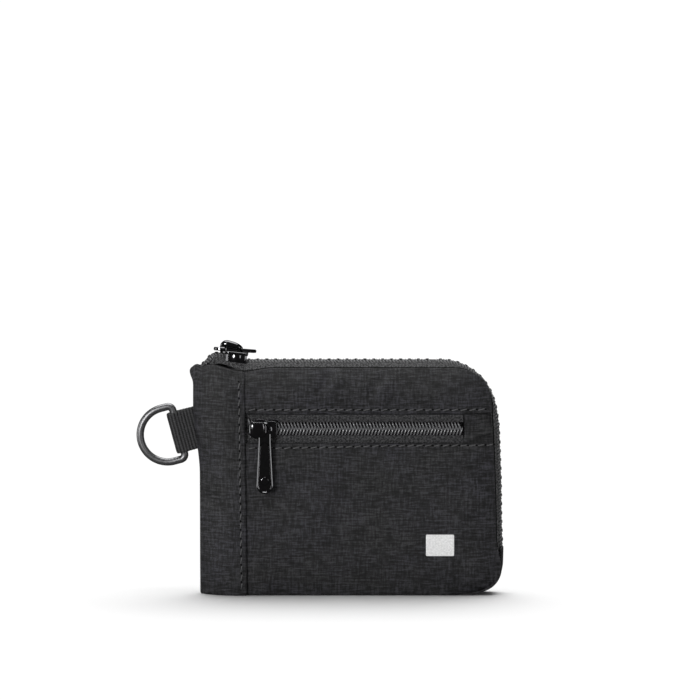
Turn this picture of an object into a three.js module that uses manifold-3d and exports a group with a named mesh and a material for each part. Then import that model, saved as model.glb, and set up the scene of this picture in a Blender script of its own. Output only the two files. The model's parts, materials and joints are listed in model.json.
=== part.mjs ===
// A small zippered fabric pouch, built the way a sewn one is: outer panels, zip tapes, coils,
// sliders, pulls, linings, a webbing loop and a D-ring, each as its own closed solid.
// Millimetres, +Z up, -Y towards the front. The origin is the middle of the flat base.
import * as THREE from "three";
import { mergeVertices } from "three/addons/utils/BufferGeometryUtils.js";
import Module from "manifold-3d";

// ---- Driving dimensions ----
const HALF_WIDTH = 60.2; // base centre to the right edge, at the bottom
const HEIGHT = 94; // base to the ridge of the main zip
const HALF_DEPTH = 8; // the flat middle of a panel, from the centre plane
const FABRIC = 0.8; // outer fabric with its backing
const LINING = 0.3;
const GAP = 0.3; // left between pieces that touch

// Outline of the body in the XZ plane
const RIDGE_RADIUS = 22.5; // the main zip's turn at the top right
const RIDGE_RIGHT = 58; // the right end of that turn
const FOOT_WIDE = 20; // the bottom right corner is a quarter superellipse
const FOOT_HIGH = 17;
const FOOT_POWER = 2.5;
const PANEL_TOP = 90.6;
const PANEL_RADIUS = 15; // the panels' own top right corner
const PANEL_INSET = 2.6; // panel edge to the zip's ridge, on the right side
const GUSSET_INSET = 1.2; // panel edge to the gusset's outer face

// Front face layout
const SPINE_SEAM = -42; // the folded edge of the spine strip
const SPINE_OVERLAP = 4; // the panels run this far under the strip
const SLOT_LOW = 60.9;
const SLOT_HIGH = 72.9;
const SLOT_MIDDLE = (SLOT_LOW + SLOT_HIGH) / 2;
const ZIP_END = 44.4; // the fabric tab covers the pocket zip from here
const TAPE = 0.5;

// Zips
const COIL_HIGH = 1.8; // one row of teeth, across the zip
const ROW_GAP = 0.5; // half of the gap between two rows
const MAIN_GAP = 0.55;
const MAIN_ROW_LEFT = -56;
const MAIN_ROW_RIGHT = 33.8;
const GUSSET_TOP = 19.2; // the side stretch of the main zip ends here
const POCKET_COIL_FRONT = -(HALF_DEPTH + 0.35);

// Sliders
const MAIN_SLIDER_X = -47.4;
const POCKET_SLIDER_X = -35.2;
const PULL_LENGTH = 28.5;
const PULL_HEAD = 2.8;
const PULL_TIP = 3.2;
const PULL_THICK = 1.2;
const EYE = 1.5;
const MAIN_PULL_TURN = 62; // degrees from +X towards the back
const MAIN_PULL_SLOPE = 4; // degrees down towards its free end

// Webbing and D-ring
const STRAP_AT = [-63.2, 0, 66.4]; // where the webbing leaves the side seam
const STRAP_DROOP = 15; // degrees below level
const STRAP_WIDTH = 16.2;
const STRAP_REACH = 5.9; // seam to the D-ring's bar
const WEBBING = 1;
const RING_WIRE = 1.5; // radius
const RING_HALF_HEIGHT = 12.4;
const RING_ARC_X = 4.6; // centre of the D's round side, from the bar

const wasm = await Module();
wasm.setup();

// ---- Materials ----
const finish = (color, roughness, metalness = 0) =>
  new THREE.MeshStandardMaterial({ color, roughness, metalness });
const nylon = finish(0x2b2b2f, 0.75);
const liningCloth = finish(0x232327, 0.8);
const tapeCloth = finish(0x35353a, 0.9);
const coilPlastic = finish(0x3c3c3f, 0.35);
const blackMetal = finish(0x08080a, 0.15, 0.4);
const ringMetal = finish(0x38383b, 0.4, 0.6);
const webbingCloth = finish(0x1a1a1c, 0.9);
const labelWhite = finish(0xf4f4f4, 0.6);

const pouch = new THREE.Group();

function add(name, geometry, material, parent = pouch) {
  const mesh = new THREE.Mesh(geometry, material);
  mesh.name = name;
  parent.add(mesh);
  return mesh;
}

// ---- Shape of the body ----
const radians = THREE.MathUtils.degToRad;
const smooth = (a, b, value) => THREE.MathUtils.smoothstep(value, a, b);

// How much an edge sinks towards the centre plane, at a distance from that edge.
function sink(distance, reach, depth, power = 2) {
  return depth * (1 - THREE.MathUtils.clamp(distance / reach, 0, 1)) ** power;
}

function leftEdge(z) {
  return -HALF_WIDTH - 2.6 * smooth(48, 76, z) - 1.4 * smooth(84, 90, z);
}

// The right silhouette below the zip's turn: it leans, and rounds in at the foot.
function rightEdge(z) {
  const lean = 0.00036 * z * z;
  const drop = 1 - THREE.MathUtils.clamp(z / FOOT_HIGH, 0, 1);
  const round = (1 - drop ** FOOT_POWER) ** (1 / FOOT_POWER);
  return HALF_WIDTH - lean - FOOT_WIDE * (1 - round);
}

function panelRight(z) {
  const turn = PANEL_TOP - PANEL_RADIUS;
  if (z > turn) {
    const centre = panelRight(turn) - PANEL_RADIUS;
    return centre + Math.sqrt(Math.max(0, PANEL_RADIUS ** 2 - (z - turn) ** 2));
  }
  const inset = THREE.MathUtils.lerp(GUSSET_INSET, PANEL_INSET, smooth(16, 24, z));
  return rightEdge(z - GUSSET_INSET) - inset;
}

// Distance inside the panels' top and right edges, round their shared corner.
function insideTopRight(x, z) {
  const across = x - (panelRight(Math.min(z, PANEL_TOP - PANEL_RADIUS)) - PANEL_RADIUS);
  const up = z - (PANEL_TOP - PANEL_RADIUS);
  const outside = Math.hypot(Math.max(across, 0), Math.max(up, 0));
  return PANEL_RADIUS - outside - Math.min(Math.max(across, up), 0);
}

function halfDepth(x, z) {
  const left = sink(x - leftEdge(z), 16, 6.6, 2.4);
  const topRight = sink(insideTopRight(x, z), 12, 3);
  const foot = sink(z, 16, 1.6);
  return Math.max(0.6, HALF_DEPTH - left - topRight - foot);
}

// ---- Building helpers ----
// A thin sheet: a box in segments whose corners are carried to place(u, v, w). u and v run from
// 0 to 1 along the sheet and w from 0 to 1 through it.
function sheet(alongU, alongV, place) {
  const geometry = new THREE.BoxGeometry(1, 1, 1, alongU, 1, alongV);
  const points = geometry.attributes.position;
  for (let i = 0; i < points.count; i += 1) {
    const moved = place(points.getX(i) + 0.5, points.getZ(i) + 0.5, points.getY(i) + 0.5);
    points.setXYZ(i, ...moved);
  }
  geometry.computeVertexNormals();
  return geometry;
}

function block(x0, x1, y0, y1, z0, z1) {
  const geometry = new THREE.BoxGeometry(x1 - x0, y1 - y0, z1 - z0);
  return geometry.translate((x0 + x1) / 2, (y0 + y1) / 2, (z0 + z1) / 2);
}

function solidOf(geometry) {
  const bare = new THREE.BufferGeometry();
  bare.setAttribute("position", geometry.attributes.position);
  bare.setIndex(geometry.index);
  const merged = mergeVertices(bare, 1e-4);
  const vertProperties = merged.attributes.position.array;
  const triVerts = new Uint32Array(merged.index.array);
  return new wasm.Manifold(new wasm.Mesh({ numProp: 3, vertProperties, triVerts }));
}

function join(...geometries) {
  const mesh = geometries.map(solidOf).reduce((whole, next) => whole.add(next)).getMesh();
  const geometry = new THREE.BufferGeometry();
  geometry.setAttribute("position", new THREE.BufferAttribute(mesh.vertProperties, 3));
  geometry.setIndex(new THREE.BufferAttribute(mesh.triVerts, 1));
  geometry.computeVertexNormals();
  return geometry;
}

// A panel of the body between two heights, from its left edge to its right edge. Its outer face
// stands lift outside the body's surface.
function panel(alongU, alongV, heights, left, right, lift, thick, spread) {
  return sheet(alongU, alongV, (u, v, w) => {
    const z = THREE.MathUtils.lerp(heights[0], heights[1], spread(v));
    const x = THREE.MathUtils.lerp(left(z), right(z), u);
    return [x, -(halfDepth(x, z) + lift) + w * thick, z];
  });
}

const even = (v) => v;
const denseAtTop = (v) => Math.sin((v * Math.PI) / 2);
const denseAtBottom = (v) => 1 - Math.cos((v * Math.PI) / 2);
const denseAtEnds = (v) => (1 - Math.cos(v * Math.PI)) / 2;

// ---- Outer fabric ----
function outerPanels() {
  const underStrip = () => SPINE_SEAM - SPINE_OVERLAP;
  const lowest = GUSSET_INSET;
  add(
    "front_lower_panel",
    panel(14, 10, [lowest, SLOT_LOW], underStrip, panelRight, 0, FABRIC, denseAtBottom),
    nylon,
  );
  add(
    "front_upper_panel",
    panel(14, 7, [SLOT_HIGH, PANEL_TOP], underStrip, panelRight, 0, FABRIC, denseAtTop),
    nylon,
  );
  const back = panel(14, 14, [lowest, PANEL_TOP], underStrip, panelRight, 0, FABRIC, denseAtEnds);
  add("back_panel", back, nylon).scale.y = -1;
}

function spineStrips() {
  const strip = () =>
    panel(6, 12, [1, 90.4], leftEdge, () => SPINE_SEAM, FABRIC + GAP, FABRIC, even);
  add("front_spine_strip", strip(), nylon);
  add("back_spine_strip", strip(), nylon).scale.y = -1;
  const seamWidth = 4;
  const seam = sheet(2, 10, (u, v, w) => {
    const z = THREE.MathUtils.lerp(3, 88, v);
    return [leftEdge(z) + 1.6 + u * seamWidth, (w - 0.5) * 1.2, z];
  });
  add("side_seam_tape", seam, tapeCloth);
}

// The gusset runs flat under the body, turns up at the right and ends where the zip ends.
function bottomGusset() {
  const bottomLeft = -HALF_WIDTH + 0.6;
  const footStart = HALF_WIDTH - FOOT_WIDE;
  const taperEnd = -44;
  const points = [bottomLeft, taperEnd, 0].map((x) => new THREE.Vector2(x, 0));
  const steps = 9;
  for (let i = 0; i <= steps; i += 1) {
    const turn = (i / steps) * (Math.PI / 2);
    const across = Math.sin(turn) ** (2 / FOOT_POWER);
    const up = 1 - Math.cos(turn) ** (2 / FOOT_POWER);
    points.push(new THREE.Vector2(footStart + FOOT_WIDE * across, FOOT_HIGH * up));
  }
  points.push(new THREE.Vector2(HALF_WIDTH, GUSSET_TOP));
  const last = points.length - 1;
  const inwards = points.map((_, i) => {
    const before = points[Math.max(i - 1, 0)];
    const after = points[Math.min(i + 1, last)];
    const along = after.clone().sub(before).normalize();
    return new THREE.Vector2(-along.y, along.x);
  });
  const gusset = sheet(last, 2, (u, v, w) => {
    const i = Math.round(u * last);
    const flat = THREE.MathUtils.lerp(1.8, 6.2, smooth(bottomLeft, taperEnd, points[i].x));
    const halfWidth = THREE.MathUtils.lerp(flat, 4.6, smooth(2, 12, points[i].y));
    const inner = points[i].clone().addScaledVector(inwards[i], FABRIC * (1 - w));
    return [inner.x, (v * 2 - 1) * halfWidth, inner.y];
  });
  add("bottom_gusset", gusset, nylon);
}

function blankLabel() {
  const front = -(HALF_DEPTH + GAP + LINING);
  add("blank_label", block(29.7, 40.7, front, front + LINING, 16.2, 24.6), labelWhite);
}

// ---- Inside: linings, pocket bag and card slots ----
function insides() {
  const left = -48;
  const right = 45;
  const flat = (name, y, z0, z1, thick = LINING) =>
    add(name, block(left, right, y, y + thick, z0, z1), liningCloth);
  flat("pocket_bag", -1.9, 9, 79);
  flat("front_lining", -1, 8, 82);
  flat("card_slot_front", 3.9, 9, 44);
  flat("card_slot_middle", 4.6, 9, 56);
  flat("card_slot_back", 5.3, 9, 68);
  flat("back_lining", 6, 9, 79);
}

// ---- Pocket zip, on the front face ----
function pocketZip() {
  const coilLeft = -40.5;
  const tapeLeft = -41.5;
  const tapeHigh = 9;
  const tapeFront = -HALF_DEPTH + FABRIC + 0.5;
  const coil = () =>
    block(
      coilLeft,
      ZIP_END,
      POCKET_COIL_FRONT,
      tapeFront - 0.2,
      SLOT_MIDDLE + ROW_GAP,
      SLOT_MIDDLE + ROW_GAP + COIL_HIGH,
    );
  const tape = () =>
    block(
      tapeLeft,
      ZIP_END + 1.4,
      tapeFront,
      tapeFront + TAPE,
      SLOT_MIDDLE + ROW_GAP,
      SLOT_MIDDLE + tapeHigh,
    );
  for (const [side, up] of [
    ["upper", 1],
    ["lower", -1],
  ]) {
    for (const [what, shape, material] of [
      ["tape", tape(), tapeCloth],
      ["coil", coil(), coilPlastic],
    ]) {
      const row = add(`pocket_zip_${what}_${side}`, shape, material);
      row.scale.z = up;
      if (up < 0) row.position.z = 2 * SLOT_MIDDLE;
    }
  }
  const tab = panel(
    5,
    3,
    [SLOT_LOW + GAP, SLOT_HIGH - GAP],
    () => ZIP_END + 0.4,
    (z) => panelRight(z) - 0.2,
    -0.3,
    FABRIC - 0.2,
    even,
  );
  add("pocket_zip_end_tab", tab, nylon);
}

// ---- Main zip, over the top and down the right side ----
// A tape leans from its ridge edge down to the panel, and its coil is on the inside. The path
// gives the ridge in the XZ plane, and each section point is [distance inwards, y].
function zipBand(path, steps, section, thick) {
  const last = section.length - 1;
  const slopes = section.map((_, i) => {
    const before = section[Math.max(i - 1, 0)];
    const after = section[Math.min(i + 1, last)];
    const long = Math.hypot(after[0] - before[0], after[1] - before[1]);
    return [(after[0] - before[0]) / long, (after[1] - before[1]) / long];
  });
  return sheet(steps, last, (u, v, w) => {
    const i = Math.round(v * last);
    const at = path.getPoint(u);
    const along = path.getTangent(u);
    const inward = section[i][0] - slopes[i][1] * -thick * w;
    const y = section[i][1] - slopes[i][0] * thick * w;
    return [at.x + along.y * inward, y, at.y - along.x * inward];
  });
}

function mainZip() {
  const top = new THREE.LineCurve(
    new THREE.Vector2(MAIN_ROW_LEFT, HEIGHT),
    new THREE.Vector2(MAIN_ROW_RIGHT, HEIGHT),
  );
  const side = new THREE.Path();
  const centreX = RIDGE_RIGHT - RIDGE_RADIUS;
  const centreZ = HEIGHT - RIDGE_RADIUS;
  side.moveTo(MAIN_ROW_RIGHT + GAP, HEIGHT);
  side.absarc(centreX, centreZ, RIDGE_RADIUS, Math.PI / 2, 0, true);
  side.lineTo(HALF_WIDTH, GUSSET_TOP + GAP);
  const thin = 0.4;
  const ridge = [0.1, -MAIN_GAP];
  const topTape = [[2.8, -3.4], ridge];
  const sideTape = [[6, -3.9], [2.9, -3.6], ridge];
  const coil = [[2, -MAIN_GAP - 1.2], [2, -MAIN_GAP]];
  const coilThick = 1;
  const stop = block(MAIN_ROW_LEFT - 1.6, MAIN_ROW_LEFT - 0.4, -1.7, 1.7, HEIGHT - 3, HEIGHT - 1.6);
  add("main_zip_stop", stop, blackMetal);
  for (const [half, across] of [
    ["front", 1],
    ["back", -1],
  ]) {
    for (const [name, shape, material] of [
      [`main_zip_tape_${half}`, zipBand(top, 1, topTape, thin), tapeCloth],
      [`main_zip_coil_${half}`, zipBand(top, 1, coil, coilThick), coilPlastic],
      [`main_zip_tape_${half}_side`, zipBand(side, 24, sideTape, thin), tapeCloth],
      [`main_zip_coil_${half}_side`, zipBand(side, 24, coil, coilThick), coilPlastic],
    ]) {
      add(name, shape, material).scale.y = across;
    }
  }
}

// ---- Sliders and pulls ----
// Each is modelled with its zip along X, its outside towards +Z and its centre over the origin
// of height 0, which is the outer face of the teeth.
function sliderBody(length, halfWidth, throat, plate) {
  const half = length / 2;
  const outline = (reach) => {
    const shape = new THREE.Shape();
    const nose = reach * 0.62;
    shape.moveTo(-half, -nose);
    shape.lineTo(-half * 0.45, -reach);
    shape.lineTo(half, -reach * 0.86);
    shape.lineTo(half, reach * 0.86);
    shape.lineTo(-half * 0.45, reach);
    shape.lineTo(-half, nose);
    return shape;
  };
  const slab = (reach, thick) =>
    new THREE.ExtrudeGeometry(outline(reach), { depth: thick, bevelEnabled: false });
  const outer = slab(halfWidth, plate).translate(0, 0, GAP);
  const inner = slab(halfWidth * 0.85, 0.8).translate(0, 0, -throat - 0.8);
  const wedge = block(-half + 0.6, -half + 2.6, -0.25, 0.25, -throat - 0.4, GAP + 0.4);
  return join(outer, inner, wedge);
}

// The crown is a bridge along X: two legs and a beam with sloping shoulders.
function sliderCrown(length, window, beam) {
  const half = length / 2;
  const leg = 1.6;
  const top = window + beam;
  const shape = new THREE.Shape();
  shape.moveTo(-half, 0);
  shape.lineTo(-half + leg, 0);
  shape.lineTo(-half + leg, window);
  shape.lineTo(half - leg, window);
  shape.lineTo(half - leg, 0);
  shape.lineTo(half, 0);
  shape.lineTo(half, window + beam * 0.4);
  shape.lineTo(half - 1.6, top);
  shape.lineTo(-half + 1.6, top);
  shape.lineTo(-half, window + beam * 0.4);
  const wide = 1.8;
  const geometry = new THREE.ExtrudeGeometry(shape, { depth: wide, bevelEnabled: false });
  return geometry.translate(0, 0, -wide / 2).rotateX(Math.PI / 2);
}

// A pull points along +X from its eye, which is at the origin.
function pullTab() {
  const tipAt = PULL_LENGTH - PULL_HEAD - PULL_TIP;
  const neck = 2.2;
  const neckAt = 4.5;
  const shape = new THREE.Shape();
  shape.moveTo(neckAt, neck);
  shape.lineTo(1.4, 2.42);
  shape.absarc(0, 0, PULL_HEAD, Math.PI / 3, -Math.PI / 3, false);
  shape.lineTo(neckAt, -neck);
  shape.lineTo(tipAt, -PULL_TIP);
  shape.absarc(tipAt, 0, PULL_TIP, -Math.PI / 2, Math.PI / 2, false);
  const eye = new THREE.Path();
  eye.absarc(0, 0, EYE, 0, 2 * Math.PI, true);
  shape.holes.push(eye);
  const flat = { depth: PULL_THICK, bevelEnabled: false, curveSegments: 10 };
  return new THREE.ExtrudeGeometry(shape, flat).translate(0, 0, -PULL_THICK / 2);
}

// One slider with its crown and pull, in a group that carries it to its zip.
function slider(name, size) {
  const group = new THREE.Group();
  const plateTop = GAP + size.plate;
  const body = sliderBody(size.length, size.halfWidth, size.throat, size.plate);
  add(`${name}_slider_body`, body, blackMetal, group);
  const crown = sliderCrown(size.crown, size.window, size.beam);
  add(`${name}_slider_crown`, crown, blackMetal, group).position.set(
    size.crownAt,
    0,
    plateTop + 0.05,
  );
  const pull = add(`${name}_pull_tab`, pullTab(), blackMetal, group);
  pull.position.set(size.pivotAt, 0, plateTop + 0.05 + size.pivotHigh);
  pull.rotation.set(0, radians(size.slope), radians(size.turn), "ZYX");
  pouch.add(group);
  return group;
}

function sliders() {
  const legIn = 0.8;
  const mainCrown = 10.7;
  const main = slider("main", {
    length: 12.6,
    halfWidth: 3.9,
    throat: 4.1,
    plate: 1.7,
    crown: mainCrown,
    crownAt: 0,
    window: 2.5,
    beam: 2.4,
    pivotAt: -mainCrown / 2 + legIn,
    pivotHigh: 1.5,
    turn: MAIN_PULL_TURN,
    slope: MAIN_PULL_SLOPE,
  });
  main.position.set(MAIN_SLIDER_X, 0, HEIGHT);
  const pocketCrown = 7.6;
  const crownAt = -2;
  const pocket = slider("pocket", {
    length: 11.6,
    halfWidth: 3.6,
    throat: 2.5,
    plate: 1.2,
    crown: pocketCrown,
    crownAt,
    window: 1.9,
    beam: 1.7,
    pivotAt: crownAt + pocketCrown / 2 - legIn,
    pivotHigh: 0.95,
    turn: -90,
    slope: 0,
  });
  pocket.position.set(POCKET_SLIDER_X, POCKET_COIL_FRONT, SLOT_MIDDLE);
  pocket.rotation.x = Math.PI / 2;
}

// ---- Webbing loop and D-ring ----
// Both are drawn with +X out from the seam, and the webbing's width along +Z.
function webbingLoop() {
  const end = 1;
  const loop = RING_WIRE + 0.4 + WEBBING;
  const inner = RING_WIRE + 0.4;
  const lean = Math.asin((loop - end) / STRAP_REACH);
  const shape = new THREE.Shape();
  shape.absarc(0, 0, end, Math.PI / 2 + lean, (3 * Math.PI) / 2 - lean, false);
  shape.absarc(STRAP_REACH, 0, loop, -Math.PI / 2 - lean, Math.PI / 2 + lean, false);
  const hole = new THREE.Path();
  hole.absarc(STRAP_REACH, 0, inner, (3 * Math.PI) / 4, (-3 * Math.PI) / 4, true);
  hole.lineTo(STRAP_REACH - inner * Math.SQRT2, 0);
  shape.holes.push(hole);
  const flat = { depth: STRAP_WIDTH, bevelEnabled: false, curveSegments: 10 };
  return new THREE.ExtrudeGeometry(shape, flat).translate(0, 0, -STRAP_WIDTH / 2);
}

function dRing() {
  const bevel = 0.9;
  const outline = (grow, Kind) => {
    const half = RING_HALF_HEIGHT - RING_WIRE + grow;
    const shape = new Kind();
    shape.moveTo(-grow, -half);
    shape.lineTo(RING_ARC_X, -half);
    shape.absarc(RING_ARC_X, 0, half, -Math.PI / 2, Math.PI / 2, false);
    shape.lineTo(-grow, half);
    shape.closePath();
    return shape;
  };
  const shape = outline(RING_WIRE - bevel, THREE.Shape);
  shape.holes.push(outline(bevel - RING_WIRE, THREE.Path));
  const geometry = new THREE.ExtrudeGeometry(shape, {
    depth: 2 * (RING_WIRE - bevel),
    bevelThickness: bevel,
    bevelSize: bevel,
    bevelSegments: 1,
    curveSegments: 11,
  });
  return geometry.translate(0, 0, bevel - RING_WIRE).rotateX(Math.PI / 2);
}

function strap() {
  const group = new THREE.Group();
  group.position.set(...STRAP_AT);
  group.rotation.set(0, radians(-STRAP_DROOP), Math.PI);
  add("webbing_loop", webbingLoop(), webbingCloth, group);
  add("d_ring", dRing(), ringMetal, group).position.x = STRAP_REACH;
  pouch.add(group);
}

outerPanels();
spineStrips();
bottomGusset();
blankLabel();
insides();
pocketZip();
mainZip();
sliders();
strap();

export default pouch;
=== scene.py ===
import json
import math
import random

import bpy
from mathutils import Matrix, Vector, noise

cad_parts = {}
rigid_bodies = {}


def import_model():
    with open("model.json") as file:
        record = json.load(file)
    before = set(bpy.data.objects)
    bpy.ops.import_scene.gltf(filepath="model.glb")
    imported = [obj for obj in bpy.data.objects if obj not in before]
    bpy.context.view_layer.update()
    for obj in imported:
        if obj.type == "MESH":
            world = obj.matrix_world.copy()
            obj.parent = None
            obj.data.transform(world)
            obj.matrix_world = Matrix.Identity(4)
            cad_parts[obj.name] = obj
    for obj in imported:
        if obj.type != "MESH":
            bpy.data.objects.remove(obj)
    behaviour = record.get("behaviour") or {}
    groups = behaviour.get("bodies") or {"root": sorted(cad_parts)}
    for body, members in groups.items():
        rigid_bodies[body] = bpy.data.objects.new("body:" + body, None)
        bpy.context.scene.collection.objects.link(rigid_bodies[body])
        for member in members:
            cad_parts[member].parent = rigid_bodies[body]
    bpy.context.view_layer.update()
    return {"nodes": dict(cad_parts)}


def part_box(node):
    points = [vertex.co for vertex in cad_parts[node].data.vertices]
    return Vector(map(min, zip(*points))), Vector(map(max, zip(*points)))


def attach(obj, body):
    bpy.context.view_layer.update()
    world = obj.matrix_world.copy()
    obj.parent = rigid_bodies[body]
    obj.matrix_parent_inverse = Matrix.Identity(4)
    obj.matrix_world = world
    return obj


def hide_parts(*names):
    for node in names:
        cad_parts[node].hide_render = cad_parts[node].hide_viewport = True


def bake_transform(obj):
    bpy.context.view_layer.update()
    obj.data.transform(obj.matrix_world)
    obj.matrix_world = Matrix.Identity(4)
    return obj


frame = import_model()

MM = 0.001
random.seed(7)

# ---- Where things are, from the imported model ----


def node_box(node):
    low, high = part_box(node)
    return Vector(low) / MM, Vector(high) / MM


HALF_WIDTH = 60.2
HEIGHT = 94.0
HALF_DEPTH = 8.0
FABRIC = 0.8
PANEL_TOP = 90.6
PANEL_RADIUS = 15.0
FOOT_WIDE = 20.0
FOOT_HIGH = 17.0
FOOT_POWER = 3.2
RIDGE_RADIUS = 22.5
RIDGE_RIGHT = 58.0
GUSSET_TOP = 19.2
SLOT_LOW = node_box("front_lower_panel")[1].z
SLOT_HIGH = node_box("front_upper_panel")[0].z
SLOT_MIDDLE = (SLOT_LOW + SLOT_HIGH) / 2
ZIP_LEFT = node_box("pocket_zip_coil_upper")[0].x
ZIP_RIGHT = node_box("pocket_zip_coil_upper")[1].x
ROW_RIGHT = node_box("main_zip_tape_front")[1].x
STITCH_PITCH = 3.5
STITCH_GAP = 0.95
WEBBING_RIB = 1.25
THREAD_RADIUS = 0.21
STRIP_LIFT = FABRIC + 0.25  # the spine strips lie over the panels
SLOT_FACE = 7.45  # how far the pocket slot's edges stand from the middle

# ---- Small helpers ----


def clamp(value, low=0.0, high=1.0):
    return max(low, min(high, value))


def lerp(a, b, t):
    return a + (b - a) * t


def smooth(a, b, value):
    t = clamp((value - a) / (b - a))
    return t * t * (3 - 2 * t)


def bell(distance, width):
    return math.exp(-((distance / width) ** 2))


def circle(sides):
    return [(math.cos(2 * math.pi * k / sides), math.sin(2 * math.pi * k / sides)) for k in range(sides)]


def arc(cx, cy, r, a0, a1, steps):
    points = []
    for i in range(steps + 1):
        angle = math.radians(lerp(a0, a1, i / steps))
        points.append((cx + r * math.cos(angle), cy + r * math.sin(angle)))
    return points


def running_lengths(points):
    """How far along the line each of its points lies."""
    lengths = [0.0]
    for a, b in zip(points, points[1:]):
        lengths.append(lengths[-1] + (Vector(b) - Vector(a)).length)
    return lengths


def add_object(name, data):
    piece = bpy.data.objects.new(name, data)
    bpy.context.scene.collection.objects.link(piece)
    return piece


def shade(piece, smooth_faces):
    piece.data.polygons.foreach_set("use_smooth", [smooth_faces] * len(piece.data.polygons))
    return piece


def make(name, points, faces, material, uvs=None):
    """A mesh object from points in millimetres; uvs are per point, also in millimetres."""
    mesh = bpy.data.meshes.new(name)
    mesh.from_pydata([Vector(p) * MM for p in points], [], faces)
    if uvs is not None:
        layer = mesh.uv_layers.new(name="weave")
        for loop in mesh.loops:
            u, v = uvs[loop.vertex_index]
            layer.data[loop.index].uv = (u / 100, v / 100)
    mesh.validate()
    mesh.materials.append(material)
    return shade(add_object(name, mesh), True)


def bake_curve(name, curve, material, matrix):
    """Turn a curve into a mesh object, so that every piece is a mesh."""
    holder = add_object(name + "_curve", curve)
    bpy.context.view_layer.update()
    graph = bpy.context.evaluated_depsgraph_get()
    mesh = bpy.data.meshes.new_from_object(holder.evaluated_get(graph))
    bpy.data.objects.remove(holder)
    bpy.data.curves.remove(curve)
    mesh.name = name
    mesh.transform(matrix)
    mesh.materials.clear()
    mesh.materials.append(material)
    return add_object(name, mesh)


def join(name, pieces):
    """One object from several that share a material."""
    with bpy.context.temp_override(active_object=pieces[0], selected_editable_objects=pieces):
        bpy.ops.object.join()
    pieces[0].name = pieces[0].data.name = name
    return pieces[0]


def grid_faces(columns, rows, offset=0, flip=False):
    faces = []
    for j in range(rows):
        for i in range(columns):
            a = offset + j * (columns + 1) + i
            quad = (a, a + 1, a + columns + 2, a + columns + 1)
            faces.append(quad[::-1] if flip else quad)
    return faces


def slab(name, columns, rows, surface, material, thick, edge=0.5):
    """A sheet of cloth with rounded edges. surface(u, v) gives the outer point, the way in and
    the weave coordinates."""
    outer, inner, uvs = [], [], []
    for j in range(rows + 1):
        for i in range(columns + 1):
            point, inward, uv = surface(i / columns, j / rows)
            outer.append(point)
            inner.append(point + inward * thick)
            uvs.append(uv)
    count = len(outer)
    faces = grid_faces(columns, rows) + grid_faces(columns, rows, count, flip=True)
    ring = list(range(columns))
    ring += [(columns + 1) * (j + 1) - 1 for j in range(rows)]
    ring += [count - 1 - i for i in range(columns)]
    ring += [(columns + 1) * (rows - j) for j in range(rows)]
    rims, middle = [], []
    points = outer + inner
    for place, index in enumerate(ring):
        before = outer[ring[place - 1]]
        after = outer[ring[(place + 1) % len(ring)]]
        along = (after - before).normalized()
        across = (inner[index] - outer[index]).normalized()
        out = along.cross(across) * -1
        middle.append((outer[index] + inner[index]) / 2 + out * thick * edge)
        rims.append(uvs[index])
    start = 2 * count
    points += middle
    uvs = uvs + uvs + rims
    size = len(ring)
    for place in range(size):
        following = (place + 1) % size
        a, b = ring[place], ring[following]
        faces.append((b, a, start + place, start + following))
        faces.append((start + following, start + place, a + count, b + count))
    piece = make(name, points, faces, material, uvs)
    rounding = piece.modifiers.new("rounding", "SUBSURF")
    rounding.levels = rounding.render_levels = 1
    return piece


def band_faces(rings, sides, flip=False):
    """Quads between rings of points that follow one another."""
    faces = []
    for ring in range(rings - 1):
        for k in range(sides):
            a, b = ring * sides + k, ring * sides + (k + 1) % sides
            quad = (a, b, b + sides, a + sides)
            faces.append(quad[::-1] if flip else quad)
    return faces


def tube(points, radius, sides, normal, flatten=1.0):
    """Points and faces of a round thread along a path, with closed ends."""
    ring_points = []
    last = len(points) - 1
    for index, point in enumerate(points):
        along = (points[min(index + 1, last)] - points[max(index - 1, 0)]).normalized()
        side = along.cross(normal).normalized()
        up = side.cross(along)
        ring_points += [point + (side * c + up * s * flatten) * radius for c, s in circle(sides)]
    faces = band_faces(last + 1, sides)
    faces.append(tuple(range(sides))[::-1])
    faces.append(tuple(last * sides + k for k in range(sides)))
    return ring_points, faces


def gather(name, parts, material):
    """One mesh object from many (points, faces) pairs."""
    points, faces = [], []
    for part_points, part_faces in parts:
        start = len(points)
        points += part_points
        faces += [tuple(start + i for i in face) for face in part_faces]
    return make(name, points, faces, material)


def settle(piece, slot, *nodes, body="pouch", towards=None, ends=None):
    """Ride a body, or, when towards is given, bake the piece's place into its mesh; hide the CAD nodes
    given. The slot is not used. The ends are not used.
    """
    if towards:
        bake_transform(piece)
    else:
        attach(piece, body)
    if nodes:
        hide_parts(*nodes)


# ---- Materials ----


class Nodes:
    """A node tree, with a short way to add nodes to it."""

    def __init__(self, owner):
        owner.use_nodes = True
        self.tree = owner.node_tree

    def fill(self, node, values):
        """Link each input to a value that is a node's output, or set it to the value."""
        for key, value in values.items():
            if isinstance(value, bpy.types.NodeSocket):
                self.tree.links.new(value, node.inputs[key])
            else:
                node.inputs[key].default_value = value

    def add(self, kind, output, values, **settings):
        """Add a node and give the output of this name."""
        node = self.tree.nodes.new(kind)
        for key, value in settings.items():
            setattr(node, key, value)
        self.fill(node, values)
        return node.outputs[output]


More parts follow.
